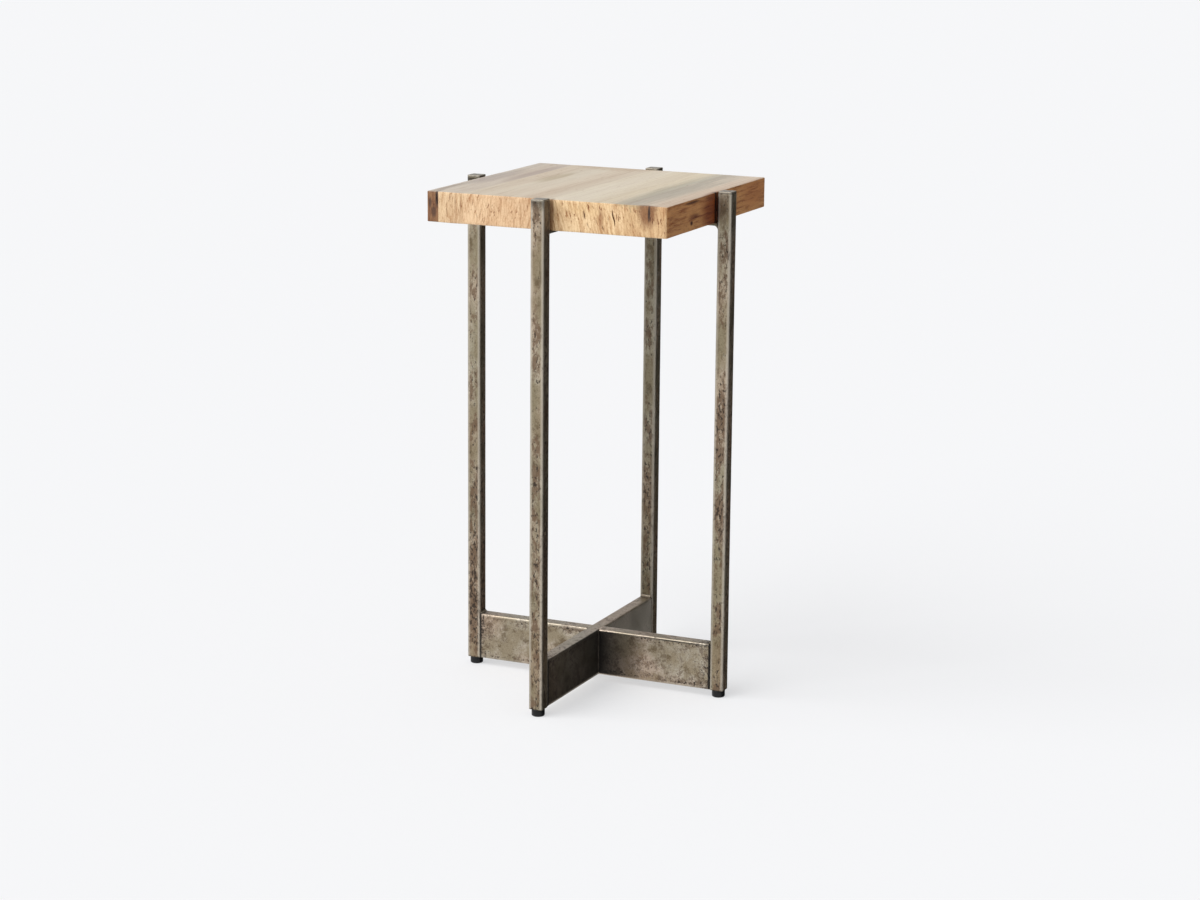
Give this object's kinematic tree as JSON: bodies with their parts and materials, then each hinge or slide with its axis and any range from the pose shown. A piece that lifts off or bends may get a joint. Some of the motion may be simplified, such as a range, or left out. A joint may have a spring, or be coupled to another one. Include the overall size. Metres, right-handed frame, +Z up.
{
  "type": "end table",
  "caption": "Small square end table: a thick glued-up wooden top held between four square steel legs, with a steel cross at the floor and screw-in levelling feet.",
  "frame": {"origin": "on the floor under the middle of the table, with the levelling feet screwed fully in", "axes": "+Z up; -Y the front, where the end grain shows; +X the right side; the boards run along Y"},
  "size_m": [0.381, 0.381, 0.68],
  "materials": {
    "hickory": "sealed, pale greige on top, warmer tan on the end grain",
    "dark_heartwood": "sealed dark brown heartwood",
    "raw_steel": "burnished raw steel, brown mottling, brighter edges, clear lacquer",
    "weld_steel": "weld bead, brushed off and lacquered",
    "plain_steel": "plain machined steel",
    "plated_steel": "zinc-plated",
    "black_nylon": "moulded, matt black"
  },
  "bodies": {
    "table": {"board_dark_strip": "dark_heartwood", "board_striped": "hickory", "board_middle": "hickory", "board_pale": "hickory", "board_right": "hickory", "leg_front": "raw_steel", "leg_right": "raw_steel", "leg_rear": "raw_steel", "leg_left": "raw_steel", "leg_cap_front": "raw_steel", "leg_cap_right": "raw_steel", "leg_cap_rear": "raw_steel", "leg_cap_left": "raw_steel", "leg_plug_front": "plain_steel", "leg_plug_right": "plain_steel", "leg_plug_rear": "plain_steel", "leg_plug_left": "plain_steel", "base_bar_long": "raw_steel", "base_bar_right": "raw_steel", "base_bar_left": "raw_steel", "support_bar_long": "raw_steel", "support_bar_right": "raw_steel", "support_bar_left": "raw_steel", "base_bar_welds": "weld_steel", "cross_welds": "weld_steel", "support_bar_welds": "weld_steel", "top_screws": "plated_steel"},
    "foot_front": {"foot_pad_front": "black_nylon", "foot_stud_front": "plated_steel"},
    "foot_right": {"foot_pad_right": "black_nylon", "foot_stud_right": "plated_steel"},
    "foot_rear": {"foot_pad_rear": "black_nylon", "foot_stud_rear": "plated_steel"},
    "foot_left": {"foot_pad_left": "black_nylon", "foot_stud_left": "plated_steel"}
  },
  "joints": [
    {"name": "level_front", "type": "slide", "parent": "table", "child": "foot_front", "axis": [0, 0, -1], "range_m": [0, 0.008]},
    {"name": "level_right", "type": "slide", "parent": "table", "child": "foot_right", "axis": [0, 0, -1], "range_m": [0, 0.008]},
    {"name": "level_rear", "type": "slide", "parent": "table", "child": "foot_rear", "axis": [0, 0, -1], "range_m": [0, 0.008]},
    {"name": "level_left", "type": "slide", "parent": "table", "child": "foot_left", "axis": [0, 0, -1], "range_m": [0, 0.008]}
  ]
}
